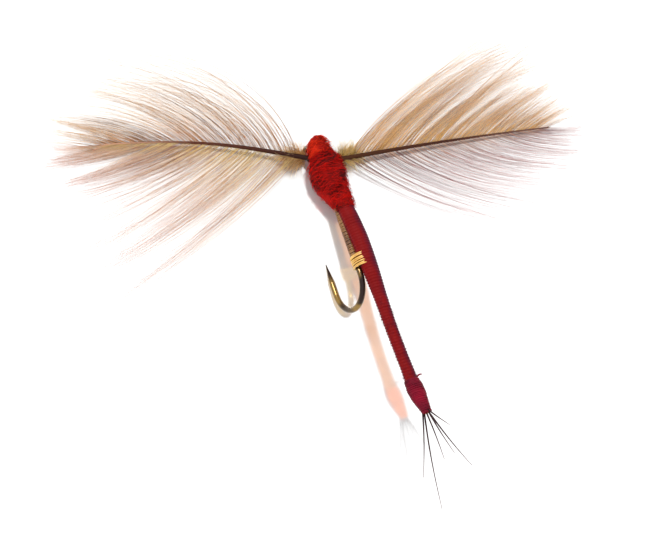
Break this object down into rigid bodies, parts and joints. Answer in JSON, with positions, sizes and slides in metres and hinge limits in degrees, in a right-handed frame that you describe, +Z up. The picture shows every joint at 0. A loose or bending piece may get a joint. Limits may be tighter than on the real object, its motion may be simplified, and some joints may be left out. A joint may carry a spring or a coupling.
{
  "type": "dry fly",
  "caption": "Spent-wing dry fly on a light round-bend hook: red dubbed head and thorax, feather wings held out flat, detached floss abdomen past the bend and a stiff fibre tail.",
  "frame": {"origin": "centre of the bounding box, on the flat surface that the fly lies on", "axes": "+Z up from the surface, +Y towards the fly's head, +X towards its right wing as seen from above"},
  "size_m": [0.0376, 0.0325, 0.0077],
  "materials": {
    "hook_wire": "bronzed light wire, polished by handling",
    "tan_thread": "close turns of waxed tying thread",
    "red_thread": "close turns of waxed tying thread",
    "red_dubbing": "dyed fur twisted on thread and wound, fuzzy",
    "red_floss": "tight floss turns with a low sheen",
    "core_line": "smooth stiff monofilament",
    "quill": "feather stem, dark at the root and tan at the tip",
    "barbs": "translucent ginger feather barbs",
    "down": "soft down at the feather root",
    "tail_fibre": "stiff dark hackle fibres"
  },
  "bodies": {
    "root": {"hook": "hook_wire", "shank_thread": "tan_thread", "rear_wraps": "tan_thread", "wing_wraps": "red_thread", "head": "red_dubbing", "thorax_dubbing": "red_dubbing", "abdomen_core_butt": "core_line", "abdomen_floss_front": "red_floss", "left_wing_butt": "quill", "right_wing_butt": "quill"},
    "left_wing": {"left_quill": "quill", "left_front_vane": "barbs", "left_rear_vane": "barbs", "left_fluff": "down"},
    "right_wing": {"right_quill": "quill", "right_front_vane": "barbs", "right_rear_vane": "barbs", "right_fluff": "down"},
    "abdomen": {"abdomen_core": "core_line", "abdomen_floss_rear": "red_floss", "tail_wraps": "red_thread", "tail_butts": "tail_fibre", "thread_tag": "red_thread"},
    "tail": {"tail_fibre_1": "tail_fibre", "tail_fibre_2": "tail_fibre", "tail_fibre_3": "tail_fibre", "tail_fibre_4": "tail_fibre", "tail_fibre_5": "tail_fibre", "tail_fibre_6": "tail_fibre"}
  },
  "joints": [
    {"name": "left_wing_flex", "type": "hinge", "parent": "root", "child": "left_wing", "pos_m": [-0.00073, 0.00791, 0.0015], "axis": [0, 1, 0], "range_deg": [-1, 60], "stiffness_Nm_per_rad": 0.00005},
    {"name": "right_wing_flex", "type": "hinge", "parent": "root", "child": "right_wing", "pos_m": [0.0017, 0.00782, 0.0017], "axis": [0, -1, 0], "range_deg": [-1, 60], "stiffness_Nm_per_rad": 0.00005},
    {"name": "abdomen_flex", "type": "hinge", "parent": "root", "child": "abdomen", "pos_m": [0.00357, -0.00017, 0.00403], "axis": [-0.8864, -0.1481, 0.4385], "range_deg": [-15, 25], "stiffness_Nm_per_rad": 0.00002},
    {"name": "tail_flex", "type": "hinge", "parent": "abdomen", "child": "tail", "pos_m": [0.00685, -0.00944, 0.00573], "axis": [-0.8864, -0.1481, 0.4385], "range_deg": [-20, 20], "stiffness_Nm_per_rad": 0.0000003}
  ]
}
